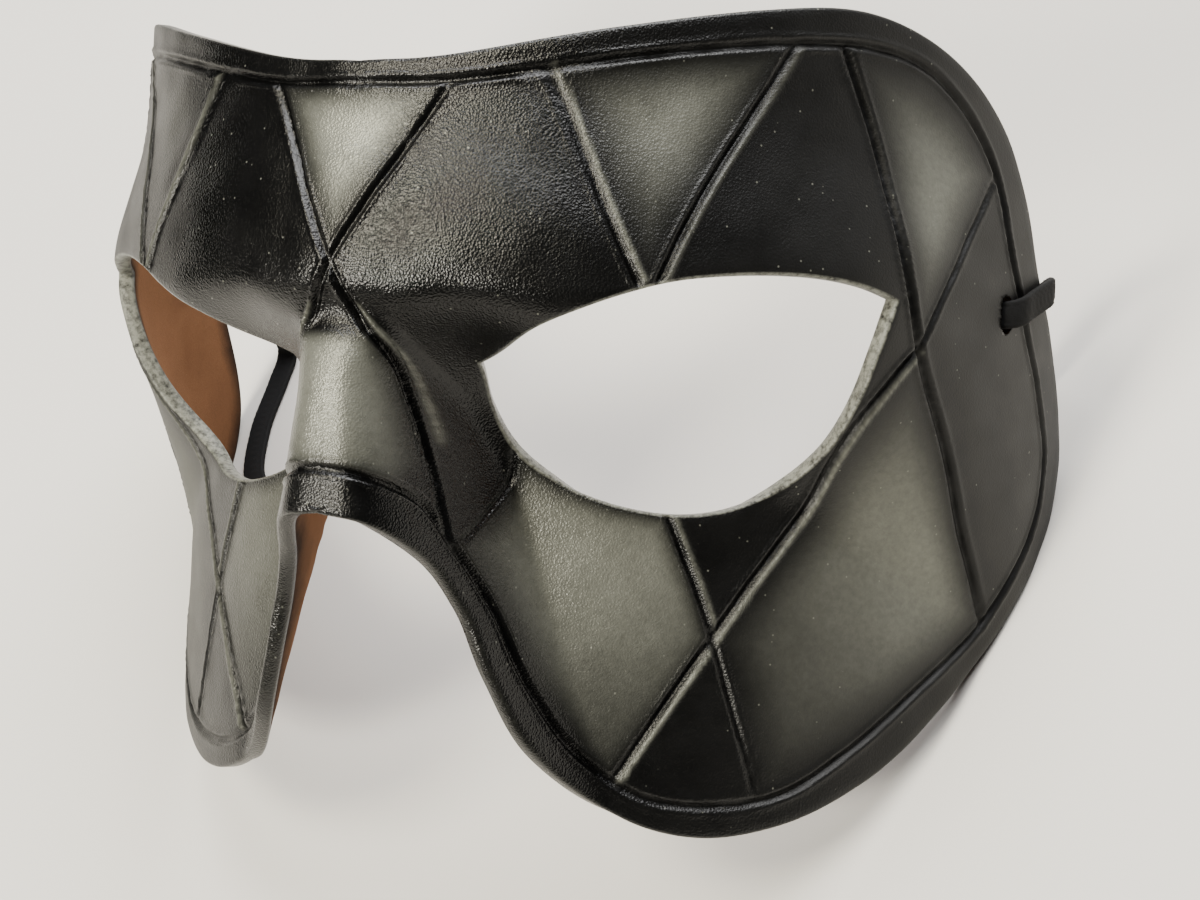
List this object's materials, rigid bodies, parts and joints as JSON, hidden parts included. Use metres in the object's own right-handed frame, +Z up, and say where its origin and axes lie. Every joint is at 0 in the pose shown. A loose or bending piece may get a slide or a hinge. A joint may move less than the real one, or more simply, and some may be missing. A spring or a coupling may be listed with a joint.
{
  "type": "commedia dell'arte mask",
  "caption": "Black moulded leather half mask with diamond lines tooled over brows, nose bridge and cheeks, open eyes and a flat elastic cord knotted behind a slot in each temple.",
  "frame": {"origin": "on the ground under the middle of the mask as it lies", "axes": "+X towards the wearer's left temple, +Y towards the forehead side, +Z up; the mask lies turned back about 30 degrees on the lower rims of its temples, face up"},
  "size_m": [0.1726, 0.1168, 0.1142],
  "materials": {
    "mask_leather": "black dyed, part airbrushed silver, semi-gloss; tan inside",
    "elastic_cord": "black braided elastic, matt",
    "knot_left": "black braided elastic, matt",
    "knot_right": "black braided elastic, matt"
  },
  "bodies": {
    "root": {"mask_leather": "mask_leather", "elastic_cord": "elastic_cord", "knot_left": "knot_left", "knot_right": "knot_right"}
  },
  "joints": []
}
